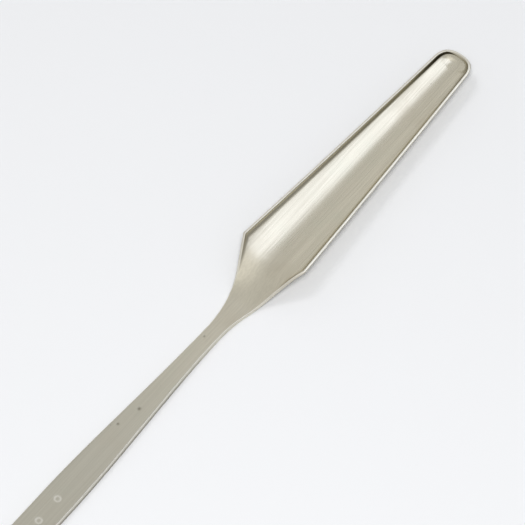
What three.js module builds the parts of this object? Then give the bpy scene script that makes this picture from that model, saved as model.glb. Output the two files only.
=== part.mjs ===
// One-piece metal palette knife with a dished blade, lying on its back with the dish open upwards.
// Millimetres, +X from the heel of the handle to the tip of the blade, +Z up.
// The origin is on the surface the knife lies on, under the middle of its length.
//
// The knife is a single forging: a flat strip that narrows from the handle to a waist, then rises
// in a low crank and spreads into two angular shoulders. The blade is a long tapering tray with a
// shallow rounded floor and a short steep lip, which also closes the rounded tip.

import * as THREE from 'three';
import { ParametricGeometry } from 'three/addons/geometries/ParametricGeometry.js';
import { mergeGeometries, mergeVertices } from 'three/addons/utils/BufferGeometryUtils.js';

// ---- driving dimensions ----

const overallLength = 230;

const handleWidth = 8.7;
const handleThickness = 2;
const handleArch = 0.04;           // how far the middle of the strip bows up between its two ends
const handleTaperLength = 61.3;    // full handle width down to the waist
const heelRoundLength = 4.2;       // how far the rounding of the free end reaches

const waistWidth = 4.35;
const neckLength = 24.9;           // waist to the shoulder corners
const neckCurveShare = 0.75;       // of the neck's outline that is curved, the rest is straight
const crankRunIn = 9.5;            // strip that lies on the surface past the waist
const dishRunIn = 10.5;            // strip that has no dish past the waist
const thinRunIn = 12;              // the metal starts to thin this far before the waist

const bladeLength = 78.1;          // shoulder corners to the tip
const shoulderWidth = 19.6;
const tipWidth = 10;               // where the two rims would meet the tip without its rounding
const tipRoundLength = 4.7;
const bladeThickness = 0.7;
const floorAngle = THREE.MathUtils.degToRad(31);   // slope of the floor where the lip starts
const rimAngle = THREE.MathUtils.degToRad(74);     // slope of the lip at its rim
const shoulderBendRadius = 3.1;    // outside of the bend from floor to lip, at the shoulders
const tipBendRadius = 2.3;         // and at the tip
const crankHeight = 3.7;           // how far the blade's back stands above the surface
const bladeBow = 0.5;              // how far the middle of the blade bows down

const noseSquareness = 2.44;       // 2 is an ellipse, more fills the corners out
const tipFlatness = 2;             // 0 carries the section round the tip, more keeps the floor flat

// ---- places along the knife ----

const tipX = overallLength / 2;
const shoulderX = tipX - bladeLength;
const waistX = shoulderX - neckLength;
const gripX = waistX - handleTaperLength;
const heelX = -overallLength / 2;
const crankX = waistX + crankRunIn;

// ---- facets: how many rows each stretch gets, and how many columns run across ----

const stretches = [
  { from: heelX, to: heelX + heelRoundLength, rows: 6 },
  { from: heelX + heelRoundLength, to: gripX, rows: 3 },
  { from: gripX, to: waistX, rows: 10 },
  { from: waistX, to: crankX, rows: 4 },
  { from: crankX, to: shoulderX, rows: 13 },
  { from: shoulderX, to: tipX - tipRoundLength, rows: 16 },
  { from: tipX - tipRoundLength, to: tipX, rows: 10, crowded: true },
];
const rowCount = stretches.reduce((sum, stretch) => sum + stretch.rows, 0);
const columnCount = 18;

// Evenly spaced shares from -1 to 1, moved closer together towards both ends, where the lip is.
const crowding = 1.2;
const crowd = (share) => Math.sin(crowding * share) / Math.sin(crowding);

// ---- the knife's shape as functions of the place along it ----

const smoothStep = (value, low, high) => THREE.MathUtils.smoothstep(value, low, high);

function neckShare(x) {
  // 0 at the waist, 1 at the shoulders: a curve that runs out into a straight flank
  const along = THREE.MathUtils.clamp((x - waistX) / neckLength, 0, 1);
  const bend = 1 / (2 * neckCurveShare - neckCurveShare ** 2);
  if (along < neckCurveShare) return bend * along ** 2;
  return bend * (neckCurveShare ** 2 + 2 * neckCurveShare * (along - neckCurveShare));
}

function halfWidth(x) {
  if (x < waistX) {
    return THREE.MathUtils.lerp(handleWidth, waistWidth, smoothStep(x, gripX, waistX)) / 2;
  }
  if (x < shoulderX) return THREE.MathUtils.lerp(waistWidth, shoulderWidth, neckShare(x)) / 2;
  return THREE.MathUtils.lerp(shoulderWidth, tipWidth, (x - shoulderX) / bladeLength) / 2;
}

// 0 where the knife is a flat strip, 1 where the blade has its full dish
const dishShare = (x) => smoothStep(x, waistX + dishRunIn, shoulderX);

// 0 where the metal is as thick as the handle, 1 where it is as thin as the blade
const thinShare = (x) => smoothStep(x, waistX - thinRunIn, shoulderX);

const bladeShare = (x) => THREE.MathUtils.clamp((x - shoulderX) / bladeLength, 0, 1);

// The strip stands on two lines, where the heel's rounding and the crank start.
function stripHeight(x) {
  if (x > crankX) return 0;
  const footX = heelX + heelRoundLength;
  const fromMiddle = (2 * x - footX - crankX) / (crankX - footX);
  return handleArch * Math.abs(1 - fromMiddle ** 2);
}

function backHeight(x) {
  const along = bladeShare(x);
  const crank = crankHeight * smoothStep(x, crankX, shoulderX);
  return stripHeight(x) + crank - 4 * bladeBow * along * (1 - along);
}

// ---- the section across the knife: a shallow floor arc, then a tighter lip arc on each side ----

// layer is 0 for the lower surface and 1 for the upper one
function sectionAt(x, layer) {
  const dish = Math.max(dishShare(x), 1e-4);
  const gauge = layer * THREE.MathUtils.lerp(handleThickness, bladeThickness, thinShare(x));
  const floorSlope = floorAngle * dish;
  const rimSlope = rimAngle * dish;
  const outerBend = THREE.MathUtils.lerp(shoulderBendRadius, tipBendRadius, bladeShare(x));
  const lipReach = Math.sin(rimSlope) - Math.sin(floorSlope);
  const floorRadius = (halfWidth(x) - outerBend * lipReach) / Math.sin(floorSlope) - gauge;
  const bendRadius = outerBend - gauge;
  const floorHalf = floorRadius * Math.sin(floorSlope);
  return {
    flat: dishShare(x) === 0,
    floorSlope,
    rimSlope,
    floorRadius,
    bendRadius,
    floorHalf,
    half: floorHalf + bendRadius * lipReach,
    endInset: gauge * Math.sin(rimSlope),
    low: backHeight(x) + gauge,
  };
}

function sidewaysAt(section, share) {
  // share is -1 to 1 of the way round the section, measured along its arcs
  const floorArc = section.floorRadius * section.floorSlope;
  const lipArc = section.bendRadius * (section.rimSlope - section.floorSlope);
  const arc = Math.abs(share) * (floorArc + lipArc);
  const side = Math.sign(share);
  if (arc < floorArc) return side * section.floorRadius * Math.sin(arc / section.floorRadius);
  const slope = section.floorSlope + (arc - floorArc) / section.bendRadius;
  const intoLip = section.bendRadius * (Math.sin(slope) - Math.sin(section.floorSlope));
  return side * (section.floorHalf + intoLip);
}

function heightAt(section, sideways) {
  const { flat, floorSlope, floorRadius, bendRadius, floorHalf, low } = section;
  if (flat) return low;
  const out = Math.min(Math.abs(sideways), section.half);
  if (out < floorHalf) return low + floorRadius - Math.sqrt(floorRadius ** 2 - out ** 2);
  const inLip = out - floorHalf + bendRadius * Math.sin(floorSlope);
  const lipCentre = low + floorRadius + (bendRadius - floorRadius) * Math.cos(floorSlope);
  return lipCentre - Math.sqrt(bendRadius ** 2 - inLip ** 2);
}

// ---- one point of the upper or the lower surface ----

function stationAt(row) {
  let rowsLeft = row;
  for (const stretch of stretches) {
    if (rowsLeft <= stretch.rows) {
      const share = rowsLeft / stretch.rows;
      return THREE.MathUtils.lerp(stretch.from, stretch.to, stretch.crowded ? crowd(share) : share);
    }
    rowsLeft -= stretch.rows;
  }
  return tipX;
}

function roundNose(reach, across) {
  // carries a square of 0..1 by -1..1 onto a nose whose corners are rounded off,
  // out is 0 in the middle of the nose's base and 1 on its rim
  const x = reach * Math.sqrt(1 - across ** 2 / 2);
  const y = across * Math.sqrt(1 - reach ** 2 / 2);
  const out = Math.hypot(x, y);
  if (out < 1e-9) return { x, y, out };
  const rim = Math.abs(x / out) ** noseSquareness + Math.abs(y / out) ** noseSquareness;
  const stretch = rim ** (-1 / noseSquareness);
  return { x: x * stretch, y: y * stretch, out };
}

function surfacePoint(lengthShare, widthShare, layer, target) {
  const x = stationAt(Math.round(lengthShare * rowCount));
  const across = 2 * Math.round(widthShare * columnCount) / columnCount - 1;
  const section = sectionAt(x, layer);
  const sideways = sidewaysAt(section, crowd(across));
  const tipRoundX = tipX - tipRoundLength;
  const heelRoundX = heelX + heelRoundLength;

  if (x > tipRoundX) {
    const nose = roundNose((x - tipRoundX) / tipRoundLength, sideways / section.half);
    const noseLength = tipRoundLength - section.endInset;
    return target.set(tipRoundX + noseLength * nose.x, section.half * nose.y,
      heightAt(section, section.half * nose.out));
  }
  if (x < heelRoundX) {
    const nose = roundNose((heelRoundX - x) / heelRoundLength, sideways / section.half);
    return target.set(heelRoundX - heelRoundLength * nose.x, section.half * nose.y,
      heightAt(section, sideways));
  }
  return target.set(x, sideways, heightAt(section, sideways));
}

// ---- the closed body: two surfaces and the edge that joins them all round ----

function knifeGeometry() {
  const point = surfacePoint;
  const upper = new ParametricGeometry((u, v, p) => point(u, v, 1, p), rowCount, columnCount);
  const lower = new ParametricGeometry((u, v, p) => point(1 - u, v, 0, p), rowCount, columnCount);
  const leftEdge = new ParametricGeometry((u, v, p) => point(u, 1, 1 - v, p), rowCount, 1);
  const rightEdge = new ParametricGeometry((u, v, p) => point(1 - u, 0, 1 - v, p), rowCount, 1);
  const heelEdge = new ParametricGeometry((u, v, p) => point(0, u, 1 - v, p), columnCount, 1);
  const tipEdge = new ParametricGeometry((u, v, p) => point(1, 1 - u, 1 - v, p), columnCount, 1);

  const skins = [upper, lower, leftEdge, rightEdge, heelEdge, tipEdge];
  for (const skin of skins) {
    skin.deleteAttribute('normal');
    skin.deleteAttribute('uv');
  }
  const body = mergeVertices(mergeGeometries(skins), 1e-4);
  body.computeVertexNormals();
  return body;
}

// ---- materials and the finished part ----

const brushedMetal = new THREE.MeshStandardMaterial({
  color: 0xc9c4b6,
  roughness: 0.28,
  metalness: 1,
});

const paletteKnife = new THREE.Group();
const bladeAndHandle = new THREE.Mesh(knifeGeometry(), brushedMetal);
bladeAndHandle.name = 'blade_and_handle';
paletteKnife.add(bladeAndHandle);

export default paletteKnife;
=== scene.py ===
import math

import bmesh
import bpy
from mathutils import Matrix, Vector, noise


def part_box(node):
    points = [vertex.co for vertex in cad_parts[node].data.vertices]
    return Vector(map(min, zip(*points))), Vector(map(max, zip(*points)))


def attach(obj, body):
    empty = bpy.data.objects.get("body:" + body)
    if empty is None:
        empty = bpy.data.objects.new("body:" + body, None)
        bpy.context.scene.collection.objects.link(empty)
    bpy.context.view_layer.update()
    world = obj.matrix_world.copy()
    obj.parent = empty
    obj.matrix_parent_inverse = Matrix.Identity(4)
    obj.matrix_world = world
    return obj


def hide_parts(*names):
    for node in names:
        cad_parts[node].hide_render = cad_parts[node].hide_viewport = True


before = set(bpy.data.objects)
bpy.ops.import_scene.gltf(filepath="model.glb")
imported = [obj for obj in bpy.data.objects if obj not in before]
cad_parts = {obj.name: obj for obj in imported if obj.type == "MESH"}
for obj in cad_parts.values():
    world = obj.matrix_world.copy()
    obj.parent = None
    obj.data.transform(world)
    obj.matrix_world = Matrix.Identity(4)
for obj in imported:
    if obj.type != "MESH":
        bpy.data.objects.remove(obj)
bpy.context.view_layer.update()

low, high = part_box("blade_and_handle")
mm = 0.001

# lengths in mm and angles in degrees, x runs from the heel of the handle to the tip of the blade
knife = {
    "handleWidth": 8.7,
    "handleTaper": 61.3,      # full handle width down to the waist
    "heelRound": 4.2,
    "handleThickness": 2,
    "handleArch": 0.04,       # the middle of the strip bows up between its two ends
    "thinRunIn": 12,          # the metal starts to thin this far before the waist
    "waistWidth": 4.35,
    "neckLength": 24.9,       # waist to the shoulder corners
    "neckCurve": 0.75,        # share of the neck's outline that is curved
    "crankRunIn": 9.5,        # strip that lies on the table past the waist
    "crankHeight": 3.7,
    "dishRunIn": 10.5,        # strip that has no dish past the waist
    "bladeLength": 78.1,
    "bladeBow": 0.5,          # how far the middle of the blade bows down
    "tipWidth": 10,
    "tipRound": 4.7,
    "noseSquareness": 2.44,   # 2 is an ellipse
    "bladeThickness": 0.7,
    "tipFlatness": 2,         # keeps the floor level to nearer the end of the tip
    "leastDish": 1e-4,        # stands for none, so that a flat section has a radius too
    "floorAngle": 31,         # where the floor meets the lip
    "rimAngle": 74,
    "shoulderBend": 3.1,      # outside radius of the bend from floor to lip
    "tipBend": 2.3,
    "edgeRound": 0.24,
    "edgeLimit": 0.45,        # share of the rim's thickness that one rounding may take
    "sizeSlack": 0.02,        # keeps the rounded knife just inside its block-out
    "rowSpacing": 0.34,
    "noseDensity": 1.6,       # rows are about this much closer in the two noses
    "columns": 44,
    "crowding": 1.2,          # columns move closer together towards the lips
    "edgeSteps": 4,
    "handWave": 0.014,        # unevenness left by forging and polishing
    "handWaveLength": 9,
    "handWaveAcross": 1.6,    # waves are this much shorter across the knife
    "faceShift": 5,           # gives the two faces different waves
    "underWave": (1, 3),      # heights between which the underside's waves set in
    "stampRings": [(-48.5, 0.05), (-56, -0.2)],
    "stampRadius": 0.75,
    "stampDepth": 0.05,
    "stampBlur": 0.35,        # share of the radius that the worn line spreads over
    "dents": [(-23.1, 1.86, 0.4), (-16.5, 0.47, 0.5), (9.8, 0.9, 0.3)],
    "dentDepth": 0.07,
}

heelX = low.x / mm
tipX = high.x / mm
shoulderHalf = high.y / mm - knife["sizeSlack"]
shoulderX = tipX - knife["bladeLength"]
waistX = shoulderX - knife["neckLength"]
crankX = waistX + knife["crankRunIn"]
gripX = waistX - knife["handleTaper"]
heelRoundX = heelX + knife["heelRound"]
tipRoundX = tipX - knife["tipRound"]


def clamp(value, least=0.0, most=1.0):
    return min(max(value, least), most)


def mix(a, b, share):
    return a + (b - a) * share


def smoothStep(value, start, end):
    share = clamp((value - start) / (end - start))
    return share * share * (3 - 2 * share)


def crowd(share):
    return math.sin(knife["crowding"] * share) / math.sin(knife["crowding"])


def bladeShare(x):
    return clamp((x - shoulderX) / knife["bladeLength"])


def dishShare(x):
    return smoothStep(x, waistX + knife["dishRunIn"], shoulderX)


def halfWidth(x):
    if x < waistX:
        return mix(knife["handleWidth"], knife["waistWidth"], smoothStep(x, gripX, waistX)) / 2
    if x > shoulderX:
        return mix(shoulderHalf, knife["tipWidth"] / 2, bladeShare(x))
    along = (x - waistX) / knife["neckLength"]
    curved = knife["neckCurve"]
    bend = 1 / (2 * curved - curved * curved)
    share = bend * along * along
    if along > curved:
        share = bend * (curved * curved + 2 * curved * (along - curved))   # straight flank
    return mix(knife["waistWidth"] / 2, shoulderHalf, share)


def stripHeight(x):
    if x > crankX:
        return 0
    fromMiddle = (2 * x - heelRoundX - crankX) / (crankX - heelRoundX)
    return knife["handleArch"] * abs(1 - fromMiddle ** 2)


def backHeight(x):
    along = bladeShare(x)
    crank = knife["crankHeight"] * smoothStep(x, crankX, shoulderX)
    return stripHeight(x) + crank - 4 * knife["bladeBow"] * along * (1 - along)


def sectionAt(x, layer):
    # a shallow floor arc with a tighter lip arc on each side; layer 0 is the underside, 1 the upper face
    dish = max(dishShare(x), knife["leastDish"])
    thin = smoothStep(x, waistX - knife["thinRunIn"], shoulderX)
    gauge = layer * mix(knife["handleThickness"], knife["bladeThickness"], thin)
    floorSlope = math.radians(knife["floorAngle"]) * dish
    rimSlope = math.radians(knife["rimAngle"]) * dish
    outerBend = mix(knife["shoulderBend"], knife["tipBend"], bladeShare(x))
    lipReach = math.sin(rimSlope) - math.sin(floorSlope)
    floorRadius = (halfWidth(x) - outerBend * lipReach) / math.sin(floorSlope) - gauge
    bendRadius = outerBend - gauge
    floorArc = floorRadius * floorSlope
    return {
        "floorSlope": floorSlope,
        "floorRadius": floorRadius,
        "bendRadius": bendRadius,
        "floorArc": floorArc,
        "arc": floorArc + bendRadius * (rimSlope - floorSlope),
        "floorHalf": floorRadius * math.sin(floorSlope),
        "half": floorRadius * math.sin(floorSlope) + bendRadius * lipReach,
        "endInset": gauge * math.sin(rimSlope),
        "low": backHeight(x) + gauge,
    }


def sidewaysAt(section, share):
    # share is -1 to 1 of the way round the section, measured along its arcs
    arc = abs(share) * section["arc"]
    if arc < section["floorArc"]:
        out = section["floorRadius"] * math.sin(arc / section["floorRadius"])
    else:
        slope = section["floorSlope"] + (arc - section["floorArc"]) / section["bendRadius"]
        intoLip = section["bendRadius"] * (math.sin(slope) - math.sin(section["floorSlope"]))
        out = section["floorHalf"] + intoLip
    return math.copysign(out, share)


def heightAt(section, sideways):
    out = min(abs(sideways), section["half"])
    floorRadius, bendRadius = section["floorRadius"], section["bendRadius"]
    if out < section["floorHalf"]:
        return section["low"] + floorRadius - math.sqrt(floorRadius ** 2 - out ** 2)
    inLip = out - section["floorHalf"] + bendRadius * math.sin(section["floorSlope"])
    lipCentre = section["low"] + floorRadius + (bendRadius - floorRadius) * math.cos(section["floorSlope"])
    return lipCentre - math.sqrt(bendRadius ** 2 - inLip ** 2)


def roundNose(reach, across):
    # carries the square 0..1 by -1..1 onto a nose with its corners rounded off
    x = reach * math.sqrt(1 - across * across / 2)
    y = across * math.sqrt(1 - reach * reach / 2)
    out = math.hypot(x, y)
    if out < 1e-9:
        return x, y, out
    power = knife["noseSquareness"]
    scale = (abs(x / out) ** power + abs(y / out) ** power) ** (-1 / power)
    return x * scale, y * scale, out ** (1 + knife["tipFlatness"] * (x / out) ** 2)


def skinPoint(row, share, layer):
    # row is (x, reach into the nose, which nose)
    x, reach, nose = row
    section = sectionAt(x, layer)
    sideways = sidewaysAt(section, share)
    if not nose:
        return Vector((x, sideways, heightAt(section, sideways)))
    half = section["half"]
    noseX, noseY, out = roundNose(reach, sideways / half)
    if nose == "heel":
        return Vector((heelRoundX - knife["heelRound"] * noseX, half * noseY, heightAt(section, sideways)))
    noseLength = knife["tipRound"] - section["endInset"]
    return Vector((tipRoundX + noseLength * noseX, half * noseY, heightAt(section, half * out)))


def bladeRows():
    # even rows along the knife, closer in the two noses, where they bend round the end
    rows = []
    noseRows = round(knife["tipRound"] / knife["rowSpacing"] * knife["noseDensity"])
    for i in range(noseRows, 0, -1):
        reach = crowd(i / noseRows)
        rows.append((heelRoundX - knife["heelRound"] * reach, reach, "heel"))
    count = round((tipRoundX - heelRoundX) / knife["rowSpacing"])
    for i in range(count + 1):
        rows.append((mix(heelRoundX, tipRoundX, i / count), 0, ""))
    for i in range(1, noseRows + 1):
        reach = crowd(i / noseRows)
        rows.append((tipRoundX + knife["tipRound"] * reach, reach, "tip"))
    return rows


def pulledIn(row, share):
    # the same point moved in from the edge by the rounding
    x, reach, nose = row
    share = share * (1 - knife["edgeRound"] / sectionAt(x, 0)["arc"])
    if nose == "heel":
        reach *= 1 - knife["edgeRound"] / knife["heelRound"]
        x = heelRoundX - knife["heelRound"] * reach
    if nose == "tip":
        reach *= 1 - knife["edgeRound"] / knife["tipRound"]
        x = tipRoundX + knife["tipRound"] * reach
    return (x, reach, nose), share


def nearRings(point):
    total = 0
    for x, y in knife["stampRings"]:
        away = math.hypot(point.x - x, point.y - y) / knife["stampRadius"]
        total += math.exp(-((away - 1) / knife["stampBlur"]) ** 2)
    return total


def nearDents(point):
    return sum(math.exp(-((point.x - x) ** 2 + (point.y - y) ** 2) / radius ** 2)
               for x, y, radius in knife["dents"])


def handWork(point, layer):
    # slight waves from the hammer and the polishing belt, then the worn stamps and dents on the handle
    place = point / knife["handWaveLength"]
    spot = Vector((place.x, place.y * knife["handWaveAcross"], layer * knife["faceShift"]))
    wave = noise.noise(spot) * knife["handWave"]
    if layer == 0:
        return wave * smoothStep(point.z, *knife["underWave"])   # the handle's underside stays on the table
    return wave - knife["stampDepth"] * nearRings(point) - knife["dentDepth"] * nearDents(point)


def roundCorner(start, corner, end, share):
    return start.lerp(corner, share).lerp(corner.lerp(end, share), share)


def edgeProfile(row, share):
    # from the underside, round the outer corner, over the rim and round the inner corner
    inRow, inShare = pulledIn(row, share)
    below = skinPoint(inRow, inShare, 0)
    above = skinPoint(inRow, inShare, 1)
    outer = skinPoint(row, share, 0)
    inner = skinPoint(row, share, 1)
    cut = min(knife["edgeRound"] / (inner - outer).length, knife["edgeLimit"])
    steps = knife["edgeSteps"]
    points = [roundCorner(below, outer, outer.lerp(inner, cut), i / steps) for i in range(1, steps + 1)]
    points += [roundCorner(inner.lerp(outer, cut), inner, above, i / steps) for i in range(steps)]
    return points


def lipShare(row, share):
    # 0 on the floor of the dish, 1 on its rim, the same way round the tip
    x, reach, nose = row
    section = sectionAt(x, 1)
    out = abs(sidewaysAt(section, share)) / section["half"]
    if nose == "tip":
        out = roundNose(reach, out)[2]
    floorShare = section["floorHalf"] / section["half"]
    return clamp((out - floorShare) / (1 - floorShare)) * dishShare(x)


def buildKnife():
    rows = bladeRows()
    columns = knife["columns"]
    shares = [crowd(2 * j / columns - 1) for j in range(columns + 1)]
    mesh = bmesh.new()
    edgeShareLayer = mesh.verts.layers.float.new("edge")
    lipLayer = mesh.verts.layers.float.new("lip")
    ringLayer = mesh.verts.layers.float.new("ring")
    dentLayer = mesh.verts.layers.float.new("dent")
    skins = []
    for layer in (0, 1):
        skin = []
        for row in rows:
            line = []
            for share in shares:
                point = skinPoint(*pulledIn(row, share), layer)
                point.z += handWork(point, layer)
                vert = mesh.verts.new(point)
                vert[lipLayer] = lipShare(*pulledIn(row, share)) * layer
                vert[ringLayer] = nearRings(point) * layer
                vert[dentLayer] = nearDents(point) * layer
                line.append(vert)
            skin.append(line)
        skins.append(skin)
    under, upper = skins
    for i in range(len(rows) - 1):
        for j in range(columns):
            mesh.faces.new((under[i][j], under[i][j + 1], under[i + 1][j + 1], under[i + 1][j]))
            mesh.faces.new((upper[i][j], upper[i + 1][j], upper[i + 1][j + 1], upper[i][j + 1]))
    last = len(rows) - 1
    loop = [(i, 0) for i in range(last)]
    loop += [(last, j) for j in range(columns)]
    loop += [(i, columns) for i in range(last, 0, -1)]
    loop += [(0, j) for j in range(columns, 0, -1)]
    rings = []
    for i, j in loop:
        profile = [mesh.verts.new(point) for point in edgeProfile(rows[i], shares[j])]
        for k, vert in enumerate(profile):
            vert[edgeShareLayer] = k / len(profile)   # 0 at the outer corner; the rims are painted brighter towards the inner corner, as wear and as painted highlight
        rings.append([under[i][j]] + profile + [upper[i][j]])
    for here, there in zip(rings, rings[1:] + rings[:1]):
        for k in range(len(here) - 1):
            mesh.faces.new((here[k], there[k], there[k + 1], here[k + 1]))
    for vert in mesh.verts:
        vert.co *= mm
    mesh.normal_update()
    data = bpy.data.meshes.new("knife")
    mesh.to_mesh(data)
    mesh.free()
    data.polygons.foreach_set("use_smooth", [True] * len(data.polygons))
    piece = bpy.data.objects.new("knife", data)
    bpy.context.scene.collection.objects.link(piece)
    return piece


def linear(hexColour):
    # a screen colour as the linear light that the renderer works in
    values = [int(hexColour[i:i + 2], 16) / 255 for i in (1, 3, 5)]
    return [v / 12.92 if v < 0.04045 else ((v + 0.055) / 1.055) ** 2.4 for v in values] + [1]


def addNode(tree, kind, settings=None, inputs=None):
    node = tree.nodes.new(kind)
    for name, value in (settings or {}).items():
        setattr(node, name, value)
    for name, value in (inputs or {}).items():
        if isinstance(value, bpy.types.NodeSocket):
            tree.links.new(value, node.inputs[name])
        else:
            node.inputs[name].default_value = value
    return node


# what the finish looks like; lengths in mm
finish = {
    "metal": "#d1cbb9",           # nickel silver, a warm grey
    "roughness": 0.21,
    "lineSize": (26, 0.35, 0.35),   # polishing lines are 0.02 mm wide, drawn as wide as they need to show
    "lineDepth": 0.0004,
    "streakSize": (60, 2.2, 2.2),
    "smudgeSize": 11,
    "pitSpacing": 5,
    "pitSize": 0.05,              # share of the spacing
    "pitDepth": 0.011,
}

# each mask: what it follows, where it starts and is full, and how strong it is at both ends
maskRanges = {
    "onHandle": ("along", 28, -40, 0, 1),
    "lined": ("lines", 0.3, 0.7, 0, 0.16),
    "streaked": ("streaks", 0.35, 0.75, 0, 0.14),
    "smudged": ("smudges", 0.5, 0.8, 0, 0.25),
    "pale": ("smudges", 0.5, 0.2, 0, 0.25),
    "intoLip": ("lip", 0.03, 0.3, 0, 1),
    "belowRim": ("lip", 1, 0.75, 0, 1),
    "leftSide": ("aside", -1, 2.5, 0, 1),      # the painted shade in the lip's bend stays on the left side
    # painted shade with a brown-green tint in the bend of the left lip, stronger towards the tip
    "lipTintAndShadeAlong": ("along", 40, 112, 0.09, 0.68),
    # painted shade, near black, in the bend of the left lip at the tip
    "tipShadeAlong": ("along", 96, 111, 0, 0.9),
    "pitted": ("pits", 0, finish["pitSize"], 0.55, 0),
    "dented": ("dent", 0, 1, 0, 0.6),
    "stamped": ("ring", 0, 1, 0, 0.5),
    # the rims are painted brighter from the outer to the inner corner, as wear and as painted highlight
    "rubbedAndLit": ("edge", 0, 0.9, 0.2, 0.75),
    "lineRough": ("lines", 0.25, 0.75, 0, 0.1),
    "smudgeRough": ("smudges", 0.4, 0.75, 0, 0.06),
    "rim": ("edge", 0, 0.05, 0, 1),
    "rimRough": ("edge", 0, 0.05, 0, 0.14),
    "bendRough": ("along", 42, 30, 0, 0.08),   # the crank and the handle are out of the belt's reach
    "sideLow": ("edge", 0.5, 0.4, 0, 1),
    "sideShadeAlong": ("along", 20, -10, 0, 0.75),   # painted shade on the lower part of the handle's side faces
}

maskProducts = {
    "corner": ("intoLip", "belowRim"),
    "leftCorner": ("corner", "leftSide"),
    # painted light: shade in the left lip's bend and at the tip, brighter rims, shade on the handle's side
    # faces
    "lipTintAndShade": ("leftCorner", "lipTintAndShadeAlong"),
    "tipShade": ("leftCorner", "tipShadeAlong"),
    "rimWearAndHighlight": ("rim", "rubbedAndLit"),
    "side": ("rim", "sideLow"),
    "handleSideShade": ("side", "sideShadeAlong"),
}

toneLayers = [
    ("onHandle", "#c3bfb0"),      # darker on the handle
    ("lined", "#8f8a79"),
    ("streaked", "#a7a192"),
    ("smudged", "#b3a893"),
    ("pale", "#bcc0ae"),
    ("lipTintAndShade", "#7f774d"),      # brown-green tint with painted shade in the bend of the lip
    ("tipShade", "#1d1810"),        # painted shade, near black, in the bend at the tip
    ("pitted", "#5d5747"),
    ("dented", "#5d5747"),
    ("stamped", "#efece2"),
    ("rimWearAndHighlight", "#efece2"),      # rims painted bright, as wear and as painted highlight
    # painted shade on the handle's side faces
    ("handleSideShade", "#7d776a"),
]


def satinNickelSilver():
    # forged nickel silver, ground and belt-polished along its length: a soft grey mirror that
    # smears what it reflects across the lines; rims painted brighter as wear and painted highlight, painted
    # shade in the left lip's bend, at the tip and on the handle's sides
    material = bpy.data.materials.new("nickelSilverBeltPolished")
    material.use_nodes = True
    tree = material.node_tree
    shader = tree.nodes["Principled BSDF"]
    shader.inputs["Metallic"].default_value = 1
    place = addNode(tree, "ShaderNodeTexCoord").outputs["Object"]
    inMm = addNode(tree, "ShaderNodeVectorMath", {"operation": "SCALE"}, {
        0: place, "Scale": 1 / mm}).outputs[0]
    axes = addNode(tree, "ShaderNodeSeparateXYZ", None, {0: inMm}).outputs

    stretched = addNode(tree, "ShaderNodeVectorMath", {"operation": "DIVIDE"}, {
        0: inMm, 1: finish["lineSize"]}).outputs[0]
    broad = addNode(tree, "ShaderNodeVectorMath", {"operation": "DIVIDE"}, {
        0: inMm, 1: finish["streakSize"]}).outputs[0]
    sources = {
        "along": axes["X"],
        "aside": axes["Y"],
        "lines": addNode(tree, "ShaderNodeTexNoise", None, {
            "Vector": stretched, "Scale": 1, "Detail": 3, "Roughness": 0.6}).outputs["Fac"],
        "streaks": addNode(tree, "ShaderNodeTexNoise", None, {
            "Vector": broad, "Scale": 1, "Detail": 2, "Roughness": 0.5}).outputs["Fac"],
        "smudges": addNode(tree, "ShaderNodeTexNoise", None, {
            "Vector": inMm, "Scale": 1 / finish["smudgeSize"],
            "Detail": 4, "Roughness": 0.55}).outputs["Fac"],
        "pits": addNode(tree, "ShaderNodeTexVoronoi", {"feature": "F1"}, {
            "Vector": inMm, "Scale": 1 / finish["pitSpacing"]}).outputs["Distance"],
    }
    for name in ("edge", "lip", "ring", "dent"):
        sources[name] = addNode(tree, "ShaderNodeAttribute", {"attribute_name": name}).outputs["Fac"]

    masks = {}
    for name, (source, start, end, least, most) in maskRanges.items():
        masks[name] = addNode(tree, "ShaderNodeMapRange", {"interpolation_type": "SMOOTHSTEP"}, {
            "Value": sources[source], "From Min": start, "From Max": end,
            "To Min": least, "To Max": most}).outputs[0]
    for name, (first, second) in maskProducts.items():
        masks[name] = addNode(tree, "ShaderNodeMath", {"operation": "MULTIPLY"}, {
            0: masks[first], 1: masks[second]}).outputs[0]

    colour = linear(finish["metal"])
    for mask, tone in toneLayers:
        colour = addNode(tree, "ShaderNodeMix", {"data_type": "RGBA"}, {
            0: masks[mask], 6: colour, 7: linear(tone)}).outputs[2]
    tree.links.new(colour, shader.inputs["Base Color"])

    rough = finish["roughness"]
    for name in ("lineRough", "smudgeRough", "rimRough", "bendRough"):
        rough = addNode(tree, "ShaderNodeMath", {"operation": "ADD"}, {0: rough, 1: masks[name]}).outputs[0]
    tree.links.new(rough, shader.inputs["Roughness"])

    pitHeight = addNode(tree, "ShaderNodeMath", {"operation": "MULTIPLY"}, {
        0: masks["pitted"], 1: -finish["pitDepth"]}).outputs[0]
    height = addNode(tree, "ShaderNodeMath", {"operation": "MULTIPLY_ADD"}, {
        0: sources["lines"], 1: finish["lineDepth"], 2: pitHeight}).outputs[0]
    bump = addNode(tree, "ShaderNodeBump", None, {"Height": height, "Distance": mm, "Strength": 1})
    tree.links.new(bump.outputs["Normal"], shader.inputs["Normal"])
    return material


piece = buildKnife()
piece.data.materials.append(satinNickelSilver())
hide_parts("blade_and_handle")
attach(piece, "root")
print("knife built,", len(piece.data.polygons), "faces")


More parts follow.
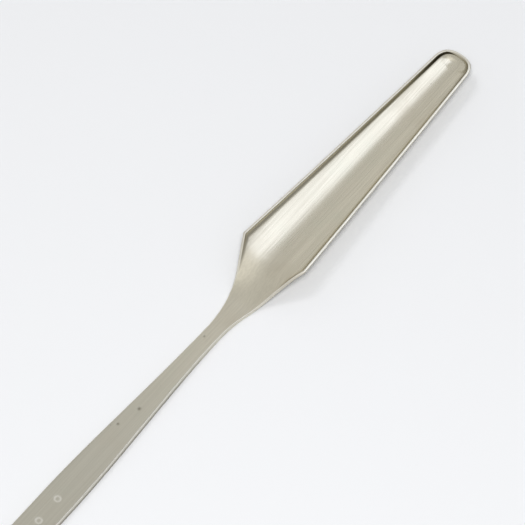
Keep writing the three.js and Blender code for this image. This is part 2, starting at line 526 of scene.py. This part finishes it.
# angles in degrees, lengths in metres; places are right, back and up from the target
studio = {
    "azimuth": 37.92,
    "elevation": 57.23,
    "distance": 1.2,
    "target": (0.03669, 0.00357, 0),
    "lens": 328.65,
    "sensor": 36,
    "floorSize": 3,
    "floorDrop": 0.00002,     # keeps the paper clear of the handle's underside
    "floorColour": "#ecedef",
    "floorRoughness": 0.9,
    "air": 0.74,
    "airOnPaper": 0.43,       # the tent lights the paper less than it shows in the metal
    "roomDimming": 0.5,
    "overhead": 0.62,
    "keyPlace": (0, -0.52, 0.96),
    "keySize": (0.25, 0.25),
    "keyPower": 7.1,
    "backPlace": (-0.3, 0.25, 1.05),
    "backSize": (0.3, 0.3),
    "backPower": 1.5,
    "panelPlace": (0.545, 0.198, 0.99),
    "panelSize": (0.79, 0.84),
    "panelPower": 2.55,
    "lampColour": "#ffffff",
    "panelColour": "#e2eaff",
}

azimuth = math.radians(studio["azimuth"])
elevation = math.radians(studio["elevation"])
rightward = Vector((math.sin(azimuth), -math.cos(azimuth), 0))
backward = Vector((math.cos(azimuth), math.sin(azimuth), 0))
upward = Vector((0, 0, 1))
target = Vector(studio["target"])


def aim(thing, point):
    thing.rotation_euler = (point - thing.location).to_track_quat("-Z", "Y").to_euler()


def addCamera():
    data = bpy.data.cameras.new("camera")
    data.lens = studio["lens"]
    data.sensor_width = studio["sensor"]
    camera = bpy.data.objects.new("camera", data)
    bpy.context.scene.collection.objects.link(camera)
    away = -backward * math.cos(elevation) + upward * math.sin(elevation)
    camera.location = target + away * studio["distance"]
    aim(camera, target)
    bpy.context.scene.camera = camera


def addSoftbox(name, place, size, power, colour):
    data = bpy.data.lights.new(name, "AREA")
    data.shape = "RECTANGLE"
    data.size, data.size_y = size
    data.energy = power
    data.color = linear(colour)[:3]
    box = bpy.data.objects.new(name, data)
    bpy.context.scene.collection.objects.link(box)
    box.location = target + rightward * place[0] + backward * place[1] + upward * place[2]
    aim(box, target)
    return box


def addFloor():
    # uncoated paper: it mirrors nothing, so the eye sees one even white and the knife's soft shadows
    half = studio["floorSize"] / 2
    mesh = bmesh.new()
    corners = ((-half, -half), (half, -half), (half, half), (-half, half))
    mesh.faces.new([mesh.verts.new((x, y, -studio["floorDrop"])) for x, y in corners])
    data = bpy.data.meshes.new("floor")
    mesh.to_mesh(data)
    mesh.free()
    floor = bpy.data.objects.new("floor", data)
    bpy.context.scene.collection.objects.link(floor)
    paper = bpy.data.materials.new("mattWhitePaper")
    paper.use_nodes = True
    shader = paper.node_tree.nodes["Principled BSDF"]
    shader.inputs["Base Color"].default_value = linear(studio["floorColour"])
    shader.inputs["Roughness"].default_value = studio["floorRoughness"]
    data.materials.append(paper)


def addAir():
    # an even white tent, brighter at the back left and overhead, dimmer low on the right
    world = bpy.data.worlds.new("studioAir")
    bpy.context.scene.world = world
    world.use_nodes = True
    tree = world.node_tree
    toward = addNode(tree, "ShaderNodeTexCoord").outputs["Generated"]
    # each patch: its direction, the cosines where it starts and is full, and its strength;
    # the dimming takes what "right" and "low" have in common
    patches = {
        "backLeft": (backward * 0.85 - rightward * 0.53, 0.4, 0.95, 0.14),
        "overhead": (upward * 0.925 - backward * 0.38 + rightward * 0.02, 0.87, 0.965, studio["overhead"]),
        "right": (rightward, 0.4, 0.75, 1),
        "low": (upward, 0.66, 0.45, -studio["roomDimming"]),
    }
    shares = {}
    for name, (direction, start, end, strength) in patches.items():
        along = addNode(tree, "ShaderNodeVectorMath", {"operation": "DOT_PRODUCT"}, {0: toward, 1: direction})
        shares[name] = addNode(tree, "ShaderNodeMapRange", {"interpolation_type": "SMOOTHSTEP"}, {
            "Value": along.outputs["Value"], "From Min": start, "From Max": end,
            "To Min": 0, "To Max": strength}).outputs[0]
    bright = addNode(tree, "ShaderNodeMath", {"operation": "ADD"}, {
        0: shares["backLeft"], 1: shares["overhead"]}).outputs[0]
    change = addNode(tree, "ShaderNodeMath", {"operation": "MULTIPLY_ADD"}, {
        0: shares["right"], 1: shares["low"], 2: bright}).outputs[0]
    seen = addNode(tree, "ShaderNodeMath", {"operation": "MULTIPLY_ADD"}, {
        0: change, 1: studio["air"], 2: studio["air"]}).outputs[0]
    glossy = addNode(tree, "ShaderNodeLightPath").outputs["Is Glossy Ray"]
    strength = addNode(tree, "ShaderNodeMix", {"data_type": "FLOAT"}, {
        "Factor": glossy, "A": studio["airOnPaper"], "B": seen}).outputs["Result"]
    background = tree.nodes["Background"]
    background.inputs["Color"].default_value = (1, 1, 1, 1)
    tree.links.new(strength, background.inputs["Strength"])


addCamera()
addFloor()
lamp = studio["lampColour"]
key = addSoftbox("keyLight", studio["keyPlace"], studio["keySize"], studio["keyPower"], lamp)
key.visible_glossy = False
back = addSoftbox("backLight", studio["backPlace"], studio["backSize"], studio["backPower"], lamp)
back.visible_glossy = False
panel = addSoftbox("sidePanel", studio["panelPlace"], studio["panelSize"], studio["panelPower"],
                   studio["panelColour"])
panel.visible_diffuse = False
addAir()
bpy.context.scene.view_settings.view_transform = "Standard"
print("studio lit")
